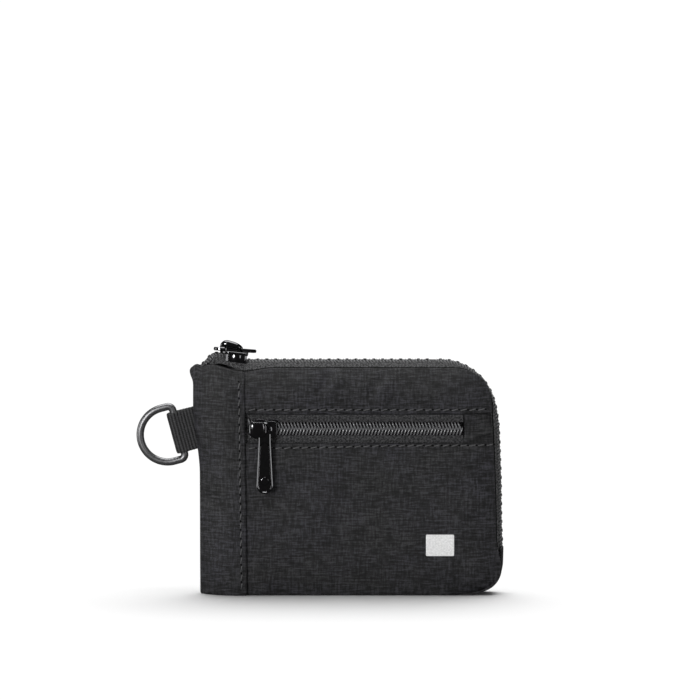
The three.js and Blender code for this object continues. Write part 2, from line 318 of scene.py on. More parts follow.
class Look(Nodes):
    """The nodes of a new material."""

    def __init__(self, name):
        self.material = bpy.data.materials.new(name)
        super().__init__(self.material)

    def shine(self, values):
        self.fill(self.tree.nodes["Principled BSDF"], values)
        return self.material

    def weave(self):
        return self.add("ShaderNodeUVMap", "UV", {}, uv_map="weave")

    def noise(self, source, scale, detail=2.0, rough=0.5):
        mapped = self.add("ShaderNodeMapping", "Vector", {"Vector": source, "Scale": scale})
        values = {"Vector": mapped, "Scale": 1.0, "Detail": detail, "Roughness": rough}
        return self.add("ShaderNodeTexNoise", "Fac", values)

    def math(self, operation, *values):
        return self.add("ShaderNodeMath", "Value", dict(enumerate(values)), operation=operation)

    def ramp(self, source, stops):
        node = self.tree.nodes.new("ShaderNodeValToRGB")
        elements = node.color_ramp.elements
        elements[0].position, elements[0].color = stops[0][0], (*stops[0][1], 1)
        elements[1].position, elements[1].color = stops[-1][0], (*stops[-1][1], 1)
        for position, color in stops[1:-1]:
            elements.new(position).color = (*color, 1)
        self.fill(node, {"Fac": source})
        return node.outputs["Color"]

    def bump(self, height, distance, strength, under=None):
        """Relief on the surface, over an earlier bump if one is given."""
        values = {"Height": height, "Distance": distance, "Strength": strength}
        if under:
            values["Normal"] = under
        normal = self.add("ShaderNodeBump", "Normal", values)
        self.shine({"Normal": normal})
        return normal


def scaled(color, factor):
    return tuple(c * factor for c in color)


def waves(length):
    """Turns a weave coordinate into the angle of a wave of this length in millimetres."""
    return 2 * math.pi * 100 / length


def nylon_material(name, base, fine=1.0):
    """Thin crinkled nylon: crossing threads of uneven weight over slow patches of tone."""
    look = Look(name)
    weave = look.weave()
    across = look.noise(weave, (16, 150 * fine, 1), 4.0, 0.7)
    down = look.noise(weave, (135 * fine, 18, 1), 4.0, 0.7)
    patches = look.noise(weave, (9, 11, 1), 3.0, 0.6)
    crinkle = look.noise(weave, (62, 84, 1), 5.0, 0.7)
    threads = look.math("MULTIPLY_ADD", down, 0.75, across)
    tone = look.math("MULTIPLY_ADD", patches, 0.18, threads)
    tone = look.math("MULTIPLY_ADD", crinkle, 0.42, tone)
    tone = look.math("DIVIDE", tone, 2.35)
    stops = [(0.44, scaled(base, 0.12)), (0.5, scaled(base, 0.85)), (0.56, scaled(base, 2.5))]
    hue = look.noise(weave, (5, 6, 1), 3.0)
    tint = look.ramp(hue, [(0.35, (1.01, 1.01, 0.97)), (0.65, (0.99, 0.97, 1.1))])
    shade_of = look.ramp(tone, stops)
    color = look.add("ShaderNodeVectorMath", "Vector", {0: shade_of, 1: tint}, operation="MULTIPLY")
    soft = look.bump(crinkle, 0.0006, 0.8)
    look.bump(threads, 0.0003, 0.7, soft)
    look.shine({"Base Color": color, "Sheen Weight": 0.04, "Sheen Roughness": 0.4})
    return look.shine({"Roughness": 0.55, "Specular IOR Level": 0.35})


def tape_material(name, dark, light):
    """Zip tape: a fine herringbone of raised yarns."""
    look = Look(name)
    weave = look.weave()
    x, y = (look.add("ShaderNodeSeparateXYZ", axis, {"Vector": weave}) for axis in "XY")
    wale = look.math("SINE", look.math("MULTIPLY", y, waves(1.1)))
    slant = look.math("MULTIPLY", wale, 1.3)
    course = look.math("SINE", look.math("MULTIPLY_ADD", x, waves(0.62), slant))
    fuzz = look.noise(weave, (115, 130, 1), 4.0, 0.75)
    height = look.math("MULTIPLY_ADD", course, 0.07, fuzz)
    look.bump(height, 0.0003, 0.7)
    color = look.ramp(height, [(0.42, dark), (0.62, light)])
    look.shine({"Base Color": color, "Sheen Weight": 0.12})
    return look.shine({"Roughness": 0.75, "Specular IOR Level": 0.3})


def webbing_material(name, dark, light):
    """Grosgrain: each rib is wrapped by short slanting stitches of yarn."""
    look = Look(name)
    weave = look.weave()
    x, y = (look.add("ShaderNodeSeparateXYZ", axis, {"Vector": weave}) for axis in "XY")
    rib = look.math("ABSOLUTE", look.math("SINE", look.math("MULTIPLY", x, waves(2 * WEBBING_RIB))))
    shift = look.math("MULTIPLY", rib, 1.6)
    yarn = look.math("SINE", look.math("MULTIPLY_ADD", y, waves(0.75), shift))
    fuzz = look.noise(weave, (130, 130, 1), 4.0, 0.75)
    height = look.math("MULTIPLY_ADD", yarn, 0.07, fuzz)
    height = look.math("MULTIPLY_ADD", rib, 0.42, height)
    look.bump(height, 0.0003, 0.8)
    color = look.ramp(height, [(0.55, dark), (1.0, light)])
    return look.shine({"Base Color": color, "Roughness": 0.7, "Specular IOR Level": 0.35})


def smooth_material(name, color, roughness, specular=0.5, metallic=0.0, coat=0.0, grain=0.0):
    """Plastic, enamel or plain thread, with a little unevenness in the shine."""
    look = Look(name)
    place = look.add("ShaderNodeTexCoord", "Object", {})
    spots = look.noise(place, (900, 900, 900), 3.0)
    uneven = look.math("MULTIPLY_ADD", spots, roughness * 0.4, roughness * 0.8)
    if grain:
        look.bump(look.noise(place, (4200, 4200, 4200), 2.0), 0.00005, grain)
    mottled = look.ramp(spots, [(0.3, scaled(color, 0.86)), (0.7, scaled(color, 1.14))])
    look.shine({"Base Color": mottled, "Roughness": uneven, "Coat Weight": coat, "Coat Roughness": 0.06})
    return look.shine({"Metallic": metallic, "Specular IOR Level": specular})



NYLON = nylon_material("nylon", (0.0132, 0.0132, 0.0146))
LINING = nylon_material("lining", (0.0115, 0.0115, 0.013), 1.4)
TAPE = tape_material("zip_tape", (0.002, 0.002, 0.0025), (0.062, 0.062, 0.065))
TOP_TAPE = tape_material("main_zip_tape", (0.003, 0.003, 0.003), (0.098, 0.098, 0.101))
COIL = smooth_material("zip_coil", (0.11, 0.11, 0.115), 0.25, 0.7, coat=0.5)
THREAD_LIGHT = smooth_material("thread_light", (0.072, 0.072, 0.074), 0.45, 0.5)
# Light thread for the zip ridge's flank stitches; its lightness is a painted highlight.
THREAD_HIGHLIGHT = smooth_material("thread_painted_highlight", (0.13, 0.13, 0.133), 0.4, 0.5)
THREAD_DARK = smooth_material("thread_dark", (0.012, 0.012, 0.013), 0.5, 0.4)
# Near-black for painted shade: needle holes, lines where cloth meets, the ridge's notches and under the
# pocket coil.
SHADE_BLACK = smooth_material("painted_shade_black", (0.002, 0.002, 0.002), 0.9, 0.1)
ENAMEL = smooth_material("black_enamel", (0.10, 0.10, 0.103), 0.13, 0.5, metallic=1.0)
RING = smooth_material("ring_metal", (0.2, 0.2, 0.205), 0.4, 0.6, metallic=0.9, grain=0.15)
WEBBING = webbing_material("webbing", (0.0015, 0.0015, 0.0015), (0.042, 0.042, 0.044))
LABEL = tape_material("blank_label", (0.62, 0.62, 0.62), (0.8, 0.8, 0.8))

# ---- Shape of the body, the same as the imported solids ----


def left_edge(z):
    return -HALF_WIDTH - 2.6 * smooth(48, 76, z) - 1.4 * smooth(84, 90, z)


def right_edge(z):
    drop = 1 - clamp(z / FOOT_HIGH)
    rounded = (1 - drop**FOOT_POWER) ** (1 / FOOT_POWER)
    return HALF_WIDTH - 0.00036 * z * z - FOOT_WIDE * (1 - rounded)


def corner_fill(z):
    return 0.9 * bell(z - 86.5, 4.5) * smooth(76, 80, z)


def panel_right(z):
    turn = PANEL_TOP - PANEL_RADIUS
    if z > turn:
        centre = panel_right(turn) - PANEL_RADIUS
        return centre + math.sqrt(max(0.0, PANEL_RADIUS**2 - (z - turn) ** 2)) + corner_fill(z)
    return right_edge(z) - 2.6 * smooth(8, 23, z) + corner_fill(z)


def sink(distance, reach, depth, power=2.0):
    return depth * (1 - clamp(distance / reach)) ** power


def half_depth(x, z):
    corner = PANEL_TOP - PANEL_RADIUS
    across = x - (panel_right(min(z, corner)) - PANEL_RADIUS)
    up = z - corner
    outside = math.hypot(max(across, 0), max(up, 0))
    inside = PANEL_RADIUS - outside - min(max(across, up), 0)
    depth = HALF_DEPTH - sink(x - left_edge(z), 16, 6.6, 2.4)
    return max(0.6, depth - sink(inside, 12, 3) - sink(z, 16, 1.6))


def seam_x(z):
    return lerp(-41.7, -42.8, z / 90)


# Soft folds: two ends, width and height of the fold; negative sinks into the pouch.
FOLD_SCALE = 2.2
FOLDS = [
    ((-8.4, 89.5), (-13.2, 80.0), 1.6, -0.42),
    ((-4.5, 89.0), (-8.5, 80.5), 2.4, 0.34),
    ((12.8, 88.0), (6.6, 80.3), 1.5, -0.36),
    ((16.5, 88.5), (11.0, 80.0), 2.4, 0.24),
    ((-30.0, 86.0), (-27.0, 78.0), 3.0, 0.16),
    ((35.0, 86.0), (28.0, 77.5), 3.2, 0.2),
    ((7.0, 49.0), (17.6, 31.0), 4.0, -0.3),
    ((13.0, 50.0), (23.5, 33.0), 4.0, 0.26),
    ((44.0, 30.5), (56.0, 30.0), 1.4, -0.16),
    ((-33.0, 37.0), (-18.0, 49.0), 5.0, -0.26),
    ((-38.0, 22.0), (-20.0, 16.0), 5.0, 0.2),
    ((-54.0, 80.0), (-47.0, 70.0), 3.0, 0.14),
    ((-57.0, 40.0), (-48.0, 30.0), 4.0, -0.12),
]


def fold_height(x, z):
    total = 0.0
    for (x0, z0), (x1, z1), width, height in FOLDS:
        dx, dz = x1 - x0, z1 - z0
        length = math.hypot(dx, dz)
        along = ((x - x0) * dx + (z - z0) * dz) / length
        across = ((x - x0) * -dz + (z - z0) * dx) / length
        rise = smooth(-width, width * 1.5, along)
        fall = smooth(length - width * 1.5, length + width, along)
        total += height * rise * (1 - fall) * bell(across, width)
    return total * FOLD_SCALE


def relief(x, z, side):
    """How far the cloth stands off its packed surface: crown, folds and slow ripples."""
    crown = 0.55 * (1 - clamp(abs(x - 4) / 58) ** 2.4) * math.sin(math.pi * clamp(z / 60)) ** 0.8
    if z > SLOT_HIGH:
        crown = 0.35 * (1 - clamp(abs(x - 4) / 52) ** 2) * math.sin(math.pi * (z - SLOT_HIGH) / 18)
    ripple = noise.noise(Vector((x / 17, z / 14, side * 3.7))) * 0.34
    ripple += noise.noise(Vector((x / 6.5, z / 5.5, side * 9.1))) * 0.1
    ripple += noise.noise(Vector((x / 2.2, z / 1.7, side * 5.3))) * 0.025
    calm = smooth(0, 6, abs(z - SLOT_MIDDLE) - 6) * 0.8 + 0.2
    folds = fold_height(x, z) if side < 0 else 0.6 * fold_height(-x, 96 - z)
    return (crown + ripple + folds) * calm


def face_y(x, z, side, lift=0.0):
    return side * (half_depth(x, z) + lift + relief(x, z, side))


def sewn_cloth(name, columns, rows, surface):
    """A sewn piece of nylon."""
    piece = slab(name, columns, rows, surface, NYLON, FABRIC)
    grid = [[surface(i / columns, j / rows)[0] * MM for i in range(columns + 1)] for j in range(rows + 1)]
    return piece


def panel(name, columns, rows, heights, left, right, side, lift, spread, top=None):
    """A panel between two heights and two edges; top(x) lowers its upper edge."""
    low, high = heights

    def surface(u, v):
        if side > 0:
            u = 1 - u
        z = lerp(low, high, spread(v))
        x = lerp(left(z), right(z), u)
        drop = top(x) * smooth(high - 9, high, z) if top else 0.0
        point = Vector((x, face_y(x, z, side, lift), z - drop))
        return point, Vector((0, -side, 0)), (x * side * -1 + 300, z)

    return sewn_cloth(name, columns, rows, surface)


def even(v):
    return v


def dense_top(v):
    return math.sin(v * math.pi / 2)


def dense_bottom(v):
    return 1 - math.cos(v * math.pi / 2)


def dense_ends(v):
    return (1 - math.cos(v * math.pi)) / 2


def seam_dip(x):
    return 1.5 * bell(x + 42.6, 6)


# ---- Outer fabric ----
UNDER = 4.0


def under_strip(z):
    return seam_x(z) - UNDER


def main_panel(name, rows, heights, side, spread, top=None):
    return panel(name, 84, rows, heights, under_strip, panel_right, side, 0, spread, top)


upper = main_panel("front_upper_fabric", 16, (SLOT_HIGH, PANEL_TOP), -1, dense_top, seam_dip)
lower = main_panel("front_lower_fabric", 48, (0.25, SLOT_LOW), -1, dense_bottom)
back = main_panel("back_fabric", 66, (0.25, PANEL_TOP), 1, dense_ends, seam_dip)


def strip_top(x):
    lobe = 1.0 * bell(x + 59.6, 1.2) + 1.8 * smooth(-61.6, -64.2, x)
    return 1.1 - 2.5 * smooth(-44, -55, x) + lobe


def spine(name, side):
    return panel(name, 22, 72, (0.2, 90.5), left_edge, seam_x, side, STRIP_LIFT, even, strip_top)


front_spine = spine("front_spine_fabric", -1)
back_spine = spine("back_spine_fabric", 1)


def gusset():
    """The cloth strip under the pouch, which turns up to the end of the main zip."""
    left = -HALF_WIDTH + 0.6
    foot = HALF_WIDTH - FOOT_WIDE
    path = [Vector((lerp(left, foot, i / 40), 0)) for i in range(40)]
    for i in range(25):
        turn = i / 24 * math.pi / 2
        up = 1 - math.cos(turn) ** (2 / FOOT_POWER)
        path.append(Vector((foot + FOOT_WIDE * math.sin(turn) ** (2 / FOOT_POWER), FOOT_HIGH * up)))
    path.append(Vector((HALF_WIDTH + 0.1, GUSSET_TOP)))
    lengths = running_lengths(path)
    last = len(path) - 1

    def surface(u, v):
        i = round(u * last)
        at = path[i]
        along = (path[min(i + 1, last)] - path[max(i - 1, 0)]).normalized()
        flat = lerp(1.4, 5.3, smooth(left, -44, at.x))
        half = lerp(flat, 4.4, smooth(2, 12, at.y))
        y = (v * 2 - 1) * half
        bulge = 0.5 * smooth(3, 12, at.y) * (1 - (v * 2 - 1) ** 2)
        point = Vector((at.x + along.y * bulge, y, at.y - along.x * bulge))
        inward = Vector((-along.y, 0, along.x))
        return point, inward, (lengths[i] + 700, y)

    return sewn_cloth("gusset_fabric", last, 10, surface)


base = gusset()


def pocket_tab():
    left = ZIP_RIGHT + 0.2

    def surface(u, v):
        z = lerp(SLOT_LOW + 0.15, SLOT_HIGH - 0.15, v)
        x = lerp(left, panel_right(z) - 0.3, u)
        fold = (z - SLOT_LOW - 1.4) - 0.32 * (x - left)
        ridge = 0.9 * bell(fold, 0.8) - 0.5 * smooth(0, 2.0, fold)
        point = Vector((x, -(half_depth(x, z) - 0.35 + ridge), z))
        return point, Vector((0, 1, 0)), (x + 900, z)

    return slab("pocket_zip_end_fabric", 18, 16, surface, NYLON, 0.6)


tab = pocket_tab()

# ---- Sewing ----


def stitch_row(name, path, radius=THREAD_RADIUS, lift=0.14, slant=0.6):
    """Stitches along a path, with painted shade for their needle holes; the path gives its length and a
    point at each distance.
    """
    threads, holes = [], []
    length, at = path
    for index in range(int(length / STITCH_PITCH)):
        start = (index + 0.12) * STITCH_PITCH
        stop = start + STITCH_PITCH - STITCH_GAP
        points = []
        wander = random.uniform(-0.1, 0.1)
        for step in range(7):
            t = step / 6
            point, out, side = at(lerp(start, stop, t))
            arch = math.sin(math.pi * t) ** 0.5 * (lift + radius) - radius * 0.9
            points.append(point + out * arch - side * (slant + wander) * (t - 0.5))
        threads.append(tube(points, radius, 6, out))
        point, out, side = at(stop + STITCH_GAP / 2)
        along = side.cross(out).normalized()
        # Painted shade: a flat near-black disc at each needle hole.
        flat = [point + out * 0.03 + along * a * 0.5 + side * b * 0.3 for a, b in circle(8)]
        holes.append((flat, [tuple(range(8))]))
    return gather(name + "_thread", threads, THREAD_LIGHT), gather(name + "_hole_shade", holes, SHADE_BLACK)


def along_face(x0, z0, x1, z1, side=-1, lift=0.0, drop=None, bend=None):
    """A sewing line across the front or back cloth."""
    dx, dz = x1 - x0, z1 - z0
    length = math.hypot(dx, dz)
    step = 0.4

    def at(s):
        x = x0 + dx * s / length
        z = z0 + dz * s / length
        if bend:
            z += bend(x)
        y = face_y(x, z, side, lift)
        slope_x = (face_y(x + step, z, side, lift) - face_y(x - step, z, side, lift)) / (2 * step)
        slope_z = (face_y(x, z + step, side, lift) - face_y(x, z - step, side, lift)) / (2 * step)
        out = Vector((-slope_x * side, 1 * side, -slope_z * side)).normalized()
        along = Vector((dx, 0, dz)).normalized()
        low = drop(x) * smooth(81, 90, z) if drop else 0.0
        return Vector((x, y, z - low)), out, along.cross(out).normalized()

    return length, at


def lower_hem(x):
    return 1.2 * smooth(-36, 30, x) * 0.9


def spine_stitches(name, side):
    line = along_face(-43.7, 2.2, -44.7, 88.6, side, STRIP_LIFT, strip_top)
    return stitch_row(name, line, slant=0.5 * side)


def pocket_stitches(name, z, right, bend=None):
    return stitch_row(name, along_face(-41.2, z, right, z, bend=bend))


spine_seam = spine_stitches("front_spine_seam", -1)
back_seam = spine_stitches("back_spine_seam", 1)
upper_seam = pocket_stitches("pocket_upper_seam", SLOT_HIGH + 1.6, 56.6)
lower_seam = pocket_stitches("pocket_lower_seam", SLOT_LOW - 1.7, 56.8, lower_hem)


def shadow_line(name, points, radius=0.2):
    """Painted shade: a near-black tube along the line where two pieces of cloth meet."""
    return gather(name, [tube(points, radius, 6, Vector((0.3, 1, 0.2)))], SHADE_BLACK)


def panel_shade_line():
    """Painted shade between the front panel and the main zip, along the top, the corner and the side."""
    turn = PANEL_TOP - PANEL_RADIUS
    centre = panel_right(turn) - PANEL_RADIUS
    edge = [(lerp(-41.5, centre, i / 70), PANEL_TOP) for i in range(71)]
    edge += arc(centre, turn, PANEL_RADIUS, 88, 2, 24)
    edge += [(panel_right(z), z) for z in (turn - 1.2 * i for i in range(48))]
    points = []
    for x, z in edge:
        dip = seam_dip(x) if z == PANEL_TOP else 0.0
        out_x = 0.32 * smooth(centre, centre + 11, x)
        up = 0.3 * (1 - smooth(centre + 4, centre + 13, x))
        points.append(Vector((x + out_x, -half_depth(x, z) - relief(x, z, -1) + 0.5, z - dip + up)))
    return shadow_line("front_panel_shade_line", points, 0.24)


def strip_shade_line():
    # Painted shade along the top edge of the front spine strip.
    points = []
    for i in range(36):
        x = lerp(-60.5, -42.6, i / 35)
        z = 90.5 - strip_top(x)
        points.append(Vector((x, face_y(x, 90.5, -1, STRIP_LIFT) + 0.5, z + 0.22)))
    return shadow_line("front_strip_shade_line", points)


def slot_shade_line(name, z, radius):
    """Painted shade: a dark line along one edge of the pocket's slot, following the cloth to the right
    edge.
    """
    points = []
    for i in range(61):
        x = lerp(-41, panel_right(z) - 1, i / 60)
        points.append(Vector((x, HALF_DEPTH - SLOT_FACE - half_depth(x, z), z)))
    return shadow_line(name, points, radius)


def tab_shade_line():
    """Painted shade: a dark line along the end tab's free edge."""
    heights = [lerp(SLOT_LOW, SLOT_HIGH, i / 12) for i in range(13)]
    return shadow_line("pocket_tab_edge_shade", [Vector((ZIP_RIGHT + 0.1, -7.35, z)) for z in heights], 0.18)


# Painted shade lines along the main zip, the spine strip, the pocket slot and the end tab.
top_shade_line = panel_shade_line()
spine_shade_line = strip_shade_line()
upper_slot_shade = slot_shade_line("pocket_upper_shade_line", SLOT_HIGH - 0.16, 0.2)
lower_slot_shade = slot_shade_line("pocket_lower_shade_line", SLOT_LOW + 0.12, 0.16)
tab_edge_shade = tab_shade_line()

# ---- Pocket zip ----
COIL_PITCH = 1.3
# One tooth of the pocket's coil: how deep, how far from the middle and how far along.
POCKET_TOOTH = [
    (-6.95, 2.1, -0.8),
    (-7.5, 2.4, -0.85),
    (-8.05, 2.2, -0.75),
    (-8.2, 1.5, -0.45),
    (-8.15, 0.6, -0.08),
    (-8.05, -0.1, 0.12),
    (-7.75, -0.42, 0.16),
    (-7.35, -0.3, 0.1),
    (-7.1, 0.5, -0.3),
    (-7.05, 1.9, -0.9),
]


def pocket_tape(name, low, high):
    left, right = ZIP_LEFT - 3, ZIP_RIGHT + 1.3

    def surface(u, v):
        x, z = lerp(left, right, u), lerp(low, high, v)
        return Vector((x, -6.75, z)), Vector((0, 1, 0)), (x, z)

    return slab(name, int(right - left), int(high - low), surface, TAPE, 0.5)


def row_spread(x):
    """The two rows part towards the slider's wide end."""
    return 1.6 * smooth(-36.8, -41.0, x)


def coil_stitch(x, up, height, phase):
    """A fine thread over the coil, leaning one way or the other."""
    points = []
    for step in range(6):
        t = step / 5
        lean = (t - 0.5) * 0.9 * up * (1 if phase else -1)
        arch = math.sin(math.pi * t) * 0.22
        z = SLOT_MIDDLE + up * height + lean * 0.5
        points.append(Vector((x + 0.14 + (t - 0.5) * 1.15, -8.22 - arch, z)))
    return tube(points, 0.09, 5, Vector((0, 1, 0)))


def pocket_row(up):
    """One half of the pocket zip: tape, coil, the two threads that sew the coil down, and a flattened tube
    of painted shade under the coil.
    """
    side = "upper" if up > 0 else "lower"
    low, high = sorted((SLOT_MIDDLE + up * 0.25, SLOT_MIDDLE + up * 9.0))
    tape = pocket_tape(f"pocket_tape_{side}", low, high)
    teeth, sewing = [], []
    offset = 0 if up > 0 else 0.5
    for index in range(int((ZIP_RIGHT - ZIP_LEFT) / COIL_PITCH)):
        x = ZIP_LEFT + (index + offset + 0.3) * COIL_PITCH
        spread = row_spread(x)
        tooth = [Vector((x + dx, y, SLOT_MIDDLE + up * (dz + spread))) for y, dz, dx in POCKET_TOOTH]
        teeth.append(tube(tooth, 0.3, 7, Vector((1, 0, 0))))
        sewing += [coil_stitch(x, up, 1.15, False), coil_stitch(x, up, 1.85, True)]
    coil = gather(f"pocket_coil_{side}", teeth, COIL)
    thread = gather(f"pocket_coil_thread_{side}", sewing, THREAD_DARK)
    # Painted shade: a flattened near-black tube under the coil, so the gaps between its teeth look dark.
    shade_under_coil = [Vector((x, -6.95, SLOT_MIDDLE + up * 1.35)) for x in (ZIP_LEFT, ZIP_RIGHT)]
    painted_shade_bed = gather(f"pocket_coil_painted_shade_bed_{side}", [tube(shade_under_coil, 1.2, 10, Vector((0, 1, 0)), 0.25)], SHADE_BLACK)
    row = f"pocket_row_{side}"
    settle(tape, "zip_tape", f"pocket_zip_tape_{side}", body=row)
    settle(coil, "zip_coil", f"pocket_zip_coil_{side}", body=row)
    settle(thread, "zip_tape", body=row)
    settle(painted_shade_bed, "zip_tape", body=row)


pocket_row(1)
pocket_row(-1)

# ---- Main zip ----
# The ridge runs along the top, round the corner and down the right side.


def ridge_drop(x):
    """The zip's left end curls down into the side seam."""
    return 5.4 * smooth(-54.5, -61.5, x) - 2.7 * smooth(-41.0, -51.5, x)


PATH_STEP = 0.9


def top_path(x0, x1):
    """The ridge from x0 to x1: its point, its direction and the weave coordinate along it."""
    count = round((x1 - x0) / PATH_STEP)
    path = []
    for i in range(count + 1):
        x = lerp(x0, x1, i / count)
        slope = (ridge_drop(x - 0.2) - ridge_drop(x + 0.2)) / 0.4
        path.append((Vector((x, HEIGHT - ridge_drop(x))), Vector((1, slope)).normalized(), x))
    return path


def side_path():
    """The ridge round the corner and down the right side, into the gusset."""
    centre = Vector((RIDGE_RIGHT - RIDGE_RADIUS, HEIGHT - RIDGE_RADIUS))
    start = ROW_RIGHT - 0.15
    path = [(Vector((start, HEIGHT)), Vector((1, 0)), start)]
    turn = math.pi / 2 * RIDGE_RADIUS
    count = round(turn / PATH_STEP)
    for i in range(count + 1):
        angle = math.pi / 2 * (1 - i / count)
        out = Vector((math.cos(angle), math.sin(angle)))
        path.append((centre + out * RIDGE_RADIUS, Vector((out.y, -out.x)), start + 2 + i * PATH_STEP))
    low = Vector((HALF_WIDTH, GUSSET_TOP - 1.5))
    top = Vector((RIDGE_RIGHT, centre.y))
    down = (low - top).normalized()
    length = (low - top).length
    count = round(length / PATH_STEP)
    for i in range(1, count + 1):
        path.append((top.lerp(low, i / count), down, start + 2 + turn + length * i / count))
    end = path[-1][2]
    path.append((Vector((HALF_WIDTH - 0.9, GUSSET_TOP - 4)), down, end + 3))
    path.append((Vector((HALF_WIDTH - 1.6, GUSSET_TOP - 7)), down, end + 6))
    return [(Vector((at.x + side_bulge(at.y), at.y)), along, s) for at, along, s in path]


def side_bulge(z):
    return 0.8 * smooth(77, 66, z) * (1 - 0.6 * smooth(50, 25, z))


# Half of the ridge's section: how deep below the ridge and how far across.
RIDGE_SECTION = [(1.7, 2.45), (0.9, 1.6), (0.3, 0.85), (0.05, 0.32), (0.3, 0.12)]
TAPE_SECTION = [(4.4, 4.2), (3.4, 3.9), (2.6, 3.3)] + RIDGE_SECTION
SIDE_SECTION = [(6.4, 4.3), (4.6, 4.1), (3.2, 3.7), (1.9, 2.7)] + RIDGE_SECTION[1:]
COIL_SECTION = [(1.75, 1.7), (1.3, 1.2), (1.2, 0.4), (1.45, -0.3), (2.0, -0.4), (2.5, 0.0), (2.6, 1.3)]
MARK_PITCH = 3.55


def off_ridge(at, along, depth, across):
    """The point that lies this deep below the ridge and this far across it."""
    return Vector((at.x + along.y * depth, across, at.y - along.x * depth))


def end_pinch(x):
    """The zip narrows towards its left end."""
    return 1 - 0.74 * smooth(-46, -60.5, x)


def zip_tape(name, path, first, last, side):
    """A tape folded over the ridge; its section changes from first to last round the corner."""
    last_u, last_v = len(path) - 1, len(first) - 1
    lengths = running_lengths(first)

    def surface(u, v):
        if side < 0:
            v = 1 - v
        i, j = round(u * last_u), round(v * last_v)
        at, along, s = path[i]
        turn = smooth(0, 16, s - path[0][2])
        wave = 0.06 * noise.noise(Vector((s / 4, j * 0.6, side * 2.0)))
        depth = lerp(first[j][0], last[j][0], turn) + wave
        across = lerp(first[j][1], last[j][1], turn) * end_pinch(at.x)
        slope = (Vector(first[min(j + 1, last_v)]) - Vector(first[max(j - 1, 0)])).normalized()
        way = off_ridge(Vector((0, 0)), along, -slope.y, side * slope.x)
        return off_ridge(at, along, depth, side * across), way, (s, lengths[j])

    return slab(name, last_u, last_v, surface, TOP_TAPE, 0.38)


def path_sampler(path):
    lengths = running_lengths([at for at, _, _ in path])

    def at(s):
        s = clamp(s, 0, lengths[-1] - 1e-6)
        i = next(k for k in range(len(lengths) - 1) if lengths[k + 1] > s)
        t = (s - lengths[i]) / (lengths[i + 1] - lengths[i])
        return path[i][0].lerp(path[i + 1][0], t), path[i][1].lerp(path[i + 1][1], t).normalized()

    return at, lengths[-1]


def main_coil(name, path, side):
    """Teeth hidden under the tape's edge, seen when the mouth is open."""
    path_at, length = path_sampler(path)
    teeth = []
    shift = 0 if side > 0 else COIL_PITCH / 2
    for index in range(int(length / COIL_PITCH)):
        at, along = path_at(index * COIL_PITCH + shift + 0.4)
        points = [off_ridge(at, along, depth, side * across) for depth, across in COIL_SECTION]
        teeth.append(tube(points, 0.28, 6, Vector((along.x, 0, along.y))))
    return gather(name, teeth, COIL)


def ridge_notch_shades(name, path, side):
    """Painted shade: short near-black notches along the ridge, where chain stitches hold the coil under the
    tape.
    """
    path_at, length = path_sampler(path)
    notch_shades = []
    for index in range(int(length / MARK_PITCH)):
        at, along = path_at((index + 0.5) * MARK_PITCH)
        run = Vector((along.x, 0, along.y))
        out = Vector((-along.y, side * 0.9, along.x)).normalized()
        centre = off_ridge(at, along, 0.02, side * 0.42) + out * 0.1
        points = [centre + run * t * 1.1 + out * (0.02 - abs(t) * 0.2) for t in (-0.5, -0.2, 0.2, 0.5)]
        notch_shades.append(tube(points, 0.17, 6, out))
    return gather(name, notch_shades, SHADE_BLACK)


def ridge_highlight_threads(name, path, side):
    """Slanting stitches on the ridge's flank, one to a tooth, in a light thread that is a painted highlight
    of the coil under the tape.
    """
    path_at, length = path_sampler(path)
    threads = []
    for index in range(int(length / COIL_PITCH) - 1):
        points = []
        for t in (0.0, 0.35, 0.7, 1.0):
            at, along = path_at((index + 0.3 + 0.65 * t) * COIL_PITCH)
            across = lerp(0.72, 2.05, t) * end_pinch(at.x)
            points.append(off_ridge(at, along, lerp(0.1, 1.15, t), side * across))
        threads.append(tube(points, 0.2, 6, Vector((0, 0, 1))))
    return gather(name, threads, THREAD_HIGHLIGHT)


MOUTH_LEFT = -42.6
LEFT_END = (-60 * MM, 0, 0.09)
MOUTH_START = (-42 * MM, 0, 0.09)
MOUTH_END = (34 * MM, 0, 0.09)


def main_zip_part(half, side, part, path, section, suffix, **riding):
    """One stretch of one side of the main zip: tape, coil, painted shade in the ridge's notches, and flank
    stitches with a painted highlight.
    """
    name = f"{half}_{part}"
    tape = zip_tape(f"main_tape_{name}", path, TAPE_SECTION, section, side)
    coil = main_coil(f"main_coil_{name}", path, side)
    threads = ridge_highlight_threads(f"main_highlight_threads_{name}", path, side)
    notch_shades = ridge_notch_shades(f"main_notch_shades_{name}", path, side)
    tape_nodes, coil_nodes = [], []
    if suffix is not None:
        tape_nodes = [f"main_zip_tape_{half}{suffix}"]
        coil_nodes = [f"main_zip_coil_{half}{suffix}"]
    settle(tape, "zip_tape", *tape_nodes, **riding)
    settle(coil, "zip_coil", *coil_nodes, **riding)
    settle(notch_shades, "zip_tape", **riding)
    settle(threads, "zip_tape", **riding)


left_path = top_path(-60.6, MOUTH_LEFT + 0.6)
mouth_path = top_path(MOUTH_LEFT, ROW_RIGHT)
corner_path = side_path()
left_ends = (LEFT_END, MOUTH_START)
mouth_ends = (MOUTH_START, MOUTH_END)
for half, side in (("front", -1), ("back", 1)):
    row = f"main_row_{half}"
    main_zip_part(half, side, "left", left_path, TAPE_SECTION, None, towards=row, ends=left_ends)
    mouth_riding = {"body": row, "towards": "pouch", "ends": mouth_ends}
    main_zip_part(half, side, "mouth", mouth_path, TAPE_SECTION, "", **mouth_riding)
    main_zip_part(half, side, "corner", corner_path, SIDE_SECTION, "_side")

# ---- Sliders and pulls ----


